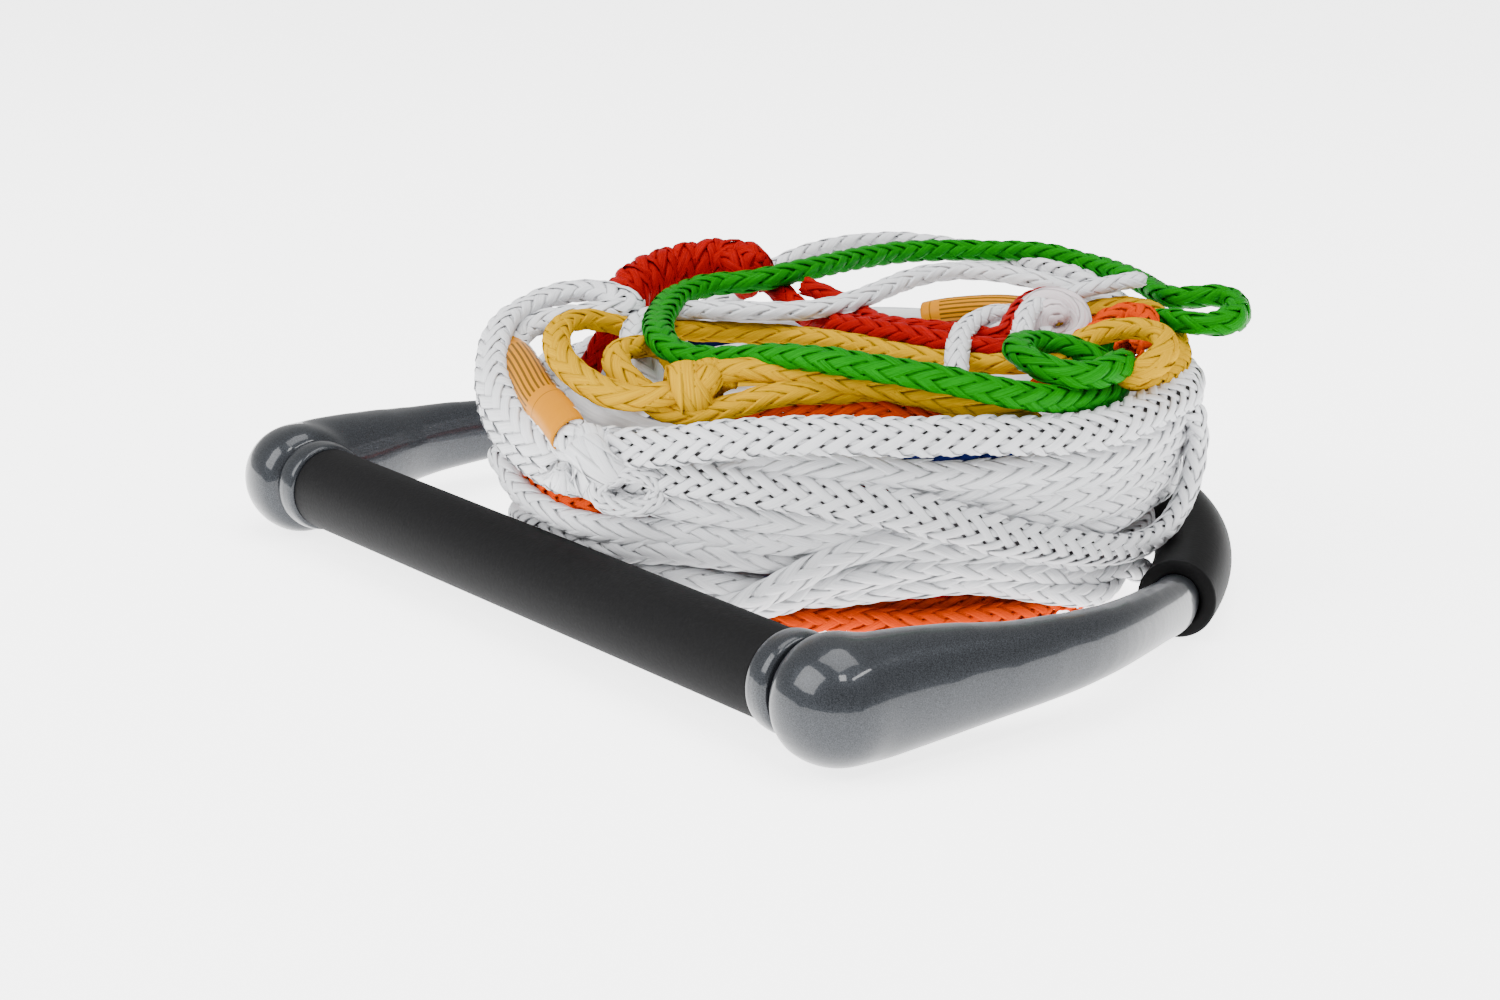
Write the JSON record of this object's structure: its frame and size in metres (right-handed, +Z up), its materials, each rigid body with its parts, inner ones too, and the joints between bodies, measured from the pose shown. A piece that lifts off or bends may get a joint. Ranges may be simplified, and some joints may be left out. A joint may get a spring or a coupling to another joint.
{
  "type": "tow rope handle",
  "caption": "Water-ski tow rope handle with bowed moulded end caps, foam floats and a coiled, coloured main line laid in the frame.",
  "frame": {"origin": "on the resting plane, under the middle of the handle's own bounding box (bar, end caps and floats, without the line)", "axes": "+X along the grip bar to the right end cap, +Y from the grip bar towards the bridle's middle where the line is tied on, +Z up from the resting plane"},
  "size_m": [0.3338, 0.2739, 0.0934],
  "materials": {
    "moulded_grey": "gloss",
    "grip_rubber": "matte",
    "float_foam": "matte",
    "aluminium": "satin",
    "plug_rubber": "matte",
    "line_white": "satin",
    "line_green": "satin",
    "line_yellow": "satin",
    "line_red": "satin",
    "line_orange": "satin",
    "label_yellow": "satin"
  },
  "bodies": {
    "handle": {"bar_tube": "aluminium", "grip_sleeve": "grip_rubber", "left_collar": "moulded_grey", "right_collar": "moulded_grey", "left_bar_plug": "plug_rubber", "right_bar_plug": "plug_rubber", "left_end_cap": "moulded_grey", "right_end_cap": "moulded_grey", "left_stopper_knot": "line_white", "right_stopper_knot": "line_white", "bridle_rope": "line_white", "left_float": "float_foam", "right_float": "float_foam", "bridle_hitch": "line_white"},
    "line": {"line_coil": "line_white", "handle_section": "line_white", "green_section": "line_green", "green_eye": "line_green", "green_front_run": "line_green", "yellow_loop": "line_yellow", "yellow_knot": "line_yellow", "yellow_section": "line_yellow", "red_chain": "line_red", "red_section": "line_red", "end_knot": "line_white", "line_tail": "line_white", "orange_end": "line_orange", "label_sleeve_front": "label_yellow", "label_sleeve_rear": "label_yellow", "white_eye": "line_white", "front_knot": "line_white"}
  },
  "joints": [
    {"name": "line_lift", "type": "slide", "parent": "handle", "child": "line", "axis": [0, 0, 1], "range_m": [0, 0.15]}
  ]
}
